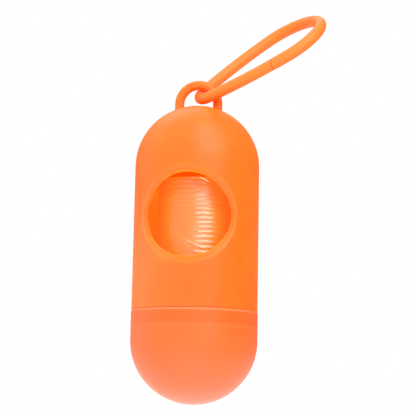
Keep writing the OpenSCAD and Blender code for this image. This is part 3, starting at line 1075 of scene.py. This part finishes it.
def wound_end(end_z, sign):
    """Rows across a cut end, from the skin in to the hole. The edges of the turns stand up in
    a spiral: their height is a sine of the radius less the turn, whole turns apart."""
    share = np.linspace(0, 1, 31)[1:, None]
    edge_r = surface_r[0 if sign < 0 else -1]
    r = edge_r + share * (hole_r - edge_r)
    spiral = 0.07 * np.sin(2 * np.pi * r / turn_gap - around)
    spiral -= 0.12 * np.exp(-((r - edge_r) / 0.4) ** 2)
    height = end_z - sign * 0.12 + sign * spiral * np.clip(share * 8, 0, 1)
    return round_axis(r, around, height)


end_top, end_foot = wound_end(roll_top, 1), wound_end(roll_foot, -1)
roll_skin = np.concatenate([end_foot[::-1], skin_rows, end_top, end_foot[-1:]])
row_steps = np.linalg.norm(np.diff(roll_skin[:, 0], axis=0), axis=1)
path_along = np.concatenate([[0], np.cumsum(row_steps)])
unrolled_uv = np.stack(np.meshgrid(around * roll_r, path_along), axis=-1)
bag_roll = make_piece(
    "bag_roll", [roll_skin], bag_film, "bag_roll", closed=False, flat_uv=unrolled_uv
)

# %% [markdown]
# The leading bag's edge curls up at the top of the roll: a thin tube that swells and dies away.
# Its pale finish is folded film with a painted glint on it.

# %% Curled edge
curl_at_r, curl_start_z = 12.60, -25.98
curl_share = np.linspace(0, 1, 31)[:, None]
curl_turn = np.radians(270 + 12 + 15 * curl_share)
curl_r = 0.01 + 0.22 * np.sin(np.pi * curl_share) ** 0.6
curl_round = np.linspace(0, 2 * np.pi, 16, endpoint=False)
curl_z = curl_start_z - 1.35 * curl_share**1.3 + curl_r * np.sin(curl_round)
curl_skin = round_axis(curl_at_r + curl_r * np.cos(curl_round), curl_turn, curl_z)
curl_uv = np.stack(np.broadcast_arrays(curl_turn * roll_r, curl_z), axis=-1)
make_piece("film_curl", [curl_skin], film_edge_and_glint, "bag_roll", flat_uv=curl_uv)
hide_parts("wound_bags", "leading_bag")

# %% [markdown]
# The core shows only at the ends of the roll and when the last bag is gone. It is a paper strip
# wound at a slant, so a fine groove climbs round it.

# %% Core
core_r, core_hole, strip_width, groove_width = 6.9, 6.0, 22.0, 0.5
core_angles = np.radians(np.arange(0, 360, 4.0))
core_levels = np.linspace(roll_foot + 0.05, roll_top - 0.05, 127)
level, angle = np.meshgrid(core_levels, core_angles, indexing="ij")
strip_place = (level / strip_width - angle / (2 * np.pi)) % 1.0
groove = 0.09 * np.exp(-(((strip_place - 0.5) * strip_width / groove_width) ** 2))
outside = round_axis(core_r - groove, angle, level)
inside = round_axis(core_hole + groove, angle, level)
core_skin = np.concatenate([outside, inside[::-1], outside[:1]])
core = make_piece("paper_core", [core_skin], core_board, "bag_roll")
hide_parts("roll_core")

# %% [markdown]
# ## Floor, light and background
#
# The dispenser hangs, as on a leash, a little way above a pale floor. The floor is matt, so
# that it takes the shadow and mirrors nothing.

# %% Floor
floor_z, floor_half = -0.45, 3.0
floor_mesh = bpy.data.meshes.new("floor")
corners = np.array([[-1, -1, 0], [1, -1, 0], [1, 1, 0], [-1, 1, 0]]) * floor_half
floor_mesh.from_pydata((corners + [0, 0, floor_z]).tolist(), [], [[0, 1, 2, 3]])
floor = put("floor", floor_mesh)
floor_paint, _, floor_shader = principled("floor_paint")
floor_shader.inputs["Base Color"].default_value = (0.82, 0.82, 0.82, 1)
floor_shader.inputs["Roughness"].default_value = 0.9
floor_mesh.materials.append(floor_paint)

# %% [markdown]
# The world is one sky that shows three faces, told apart by the kind of ray. The camera, and a
# ray that has gone through the plastic, see plain white. A ray that gathers colour sees a sky
# that is brighter at the left. A mirrored ray sees a dimmer one, darkest just over the horizon
# and bright again overhead, which keeps the satin skin from going grey at its edges.

# %% World
world = bpy.data.worlds.new("white_studio")
bpy.context.scene.world = world
world.use_nodes = True
tree = world.node_tree
tree.nodes.clear()
ray = node(tree, "ShaderNodeLightPath").outputs
way = node(tree, "ShaderNodeTexCoord").outputs["Generated"]
way = node(tree, "ShaderNodeSeparateXYZ", {"Vector": way}).outputs
lit = graded(tree, way["X"], -1.0, 1.0, 2.2, 0.76)
mirrored = graded(tree, way["X"], -1.0, 1.0, 0.6, 0.2)
horizon = graded(tree, way["Z"], 0.0, 0.15, 1.0, 0.35)
overhead = graded(tree, way["Z"], 0.30, 0.85, 0.0, 1.2)
by_height = maths(tree, "ADD", horizon, overhead)
skies = {"Factor": ray["Is Glossy Ray"], "A": lit, "B": both(tree, mirrored, by_height)}
strength = node(tree, "ShaderNodeMix", skies).outputs["Result"]
white, sky = (
    node(tree, "ShaderNodeBackground", {"Color": (1, 1, 1, 1), "Strength": power}).outputs[0]
    for power in (1.0, strength)
)
seen = maths(tree, "MAXIMUM", ray["Is Camera Ray"], ray["Is Transmission Ray"])
shown = node(tree, "ShaderNodeMixShader", {0: seen, 1: sky, 2: white}).outputs[0]
node(tree, "ShaderNodeOutputWorld", {"Surface": shown})
print("world is white to the camera")

# %% [markdown]
# Six soft boxes model the form: a weak broad one in front, a tall one at the right, a long
# narrow key above it that draws a glint on each rib of the film, one from below, one over the
# dome for its highlight, and one high behind for the dome's pale edge.

# %% Soft boxes
middle = (0.0, 0.0, -0.04)


def soft_box(name, place, width, height, power):
    """A rectangular lamp at a place in metres, turned to face the dispenser's middle."""
    lamp = bpy.data.lights.new(name, "AREA")
    lamp.shape = "RECTANGLE"
    lamp.size, lamp.size_y, lamp.energy = width, height, power
    put(name, lamp, place, facing(np.subtract(place, middle)))


soft_box("front_box", (0.12, -0.85, -0.12), 0.9, 0.9, 0.6)
soft_box("wide_box", (0.46, -0.62, 0.05), 0.28, 0.6, 1.0)
soft_box("key_box", (0.37, -0.53, 0.34), 0.6, 0.12, 3.15)
soft_box("low_box", (-0.05, -0.55, -0.42), 0.9, 0.4, 1.5)
soft_box("top_box", (0.22, -0.34, 0.62), 0.5, 0.5, 3.6)
soft_box("back_box", (-0.22, 0.48, 0.72), 0.9, 0.3, 1.6)

# %% [markdown]
# ## Finish
#
# The look is left at Blender's Standard view, so that a colour renders about as it is written.

# %% Finish
bpy.context.scene.view_settings.view_transform = "Standard"
